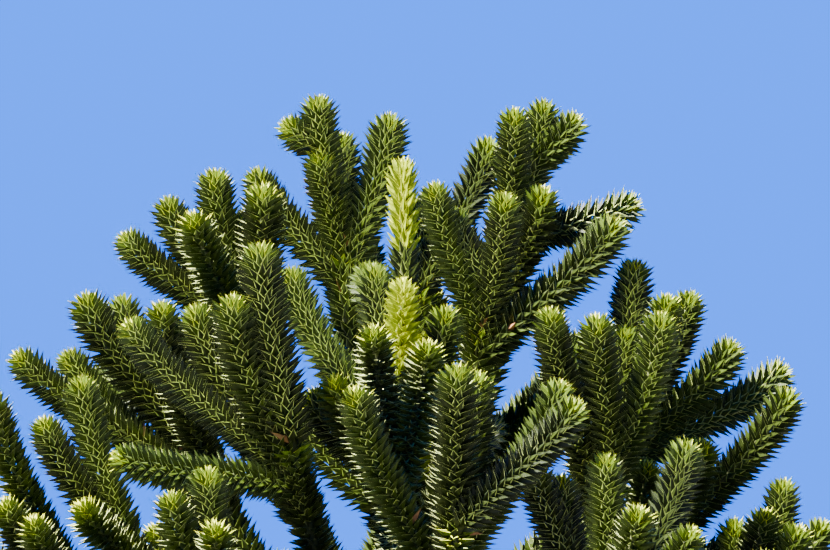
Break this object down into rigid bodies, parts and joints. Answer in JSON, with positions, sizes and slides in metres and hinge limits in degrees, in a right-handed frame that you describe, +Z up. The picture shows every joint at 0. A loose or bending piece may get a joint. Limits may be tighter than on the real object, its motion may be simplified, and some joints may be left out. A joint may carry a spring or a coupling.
{
  "type": "monkey puzzle tree",
  "caption": "Young monkey puzzle tree: a straight trunk with rising boughs in tiers, clad in stiff overlapping pointed leaves under a domed crown.",
  "frame": {"origin": "centre of the flat cut under the trunk, at ground level", "axes": "+Z up along the trunk, +X to the right of a viewer who stands where the picture was taken, +Y away from that viewer"},
  "size_m": [2.1749, 2.2615, 3.8087],
  "materials": {
    "bark": "rough",
    "leaves": "satin",
    "new_leaves": "satin"
  },
  "bodies": {
    "root": {"trunk": "bark", "leader": "new_leaves", "top_left": "leaves", "top_centre": "leaves", "top_right": "leaves", "inner_right": "leaves", "left": "leaves", "inner_centre": "leaves", "inner_back_centre": "leaves", "right": "leaves", "left_low": "leaves", "front_right": "leaves", "back_right": "leaves", "front_left": "leaves", "back_left": "leaves", "right_low": "leaves", "left_lower": "leaves", "front_centre": "leaves", "back_centre": "leaves", "front_right_low": "leaves", "back_right_low": "leaves", "front_left_low": "leaves", "back_left_low": "leaves", "right_edge": "leaves", "left_edge": "leaves", "whorl_5_a": "leaves", "whorl_5_b": "leaves", "whorl_5_c": "leaves", "whorl_5_d": "leaves", "whorl_5_e": "leaves", "whorl_4_a": "leaves", "whorl_4_b": "leaves", "whorl_4_c": "leaves", "whorl_4_d": "leaves", "whorl_4_e": "leaves", "whorl_3_a": "leaves", "whorl_3_b": "leaves", "whorl_3_c": "leaves", "whorl_3_d": "leaves", "whorl_3_e": "leaves", "whorl_2_a_bough": "bark", "whorl_2_a": "leaves", "whorl_2_b_bough": "bark", "whorl_2_b": "leaves", "whorl_2_c_bough": "bark", "whorl_2_c": "leaves", "whorl_2_d_bough": "bark", "whorl_2_d": "leaves", "whorl_2_e_bough": "bark", "whorl_2_e": "leaves", "whorl_1_a_bough": "bark", "whorl_1_a": "leaves", "whorl_1_b_bough": "bark", "whorl_1_b": "leaves", "whorl_1_c_bough": "bark", "whorl_1_c": "leaves", "whorl_1_d_bough": "bark", "whorl_1_d": "leaves"}
  },
  "joints": []
}
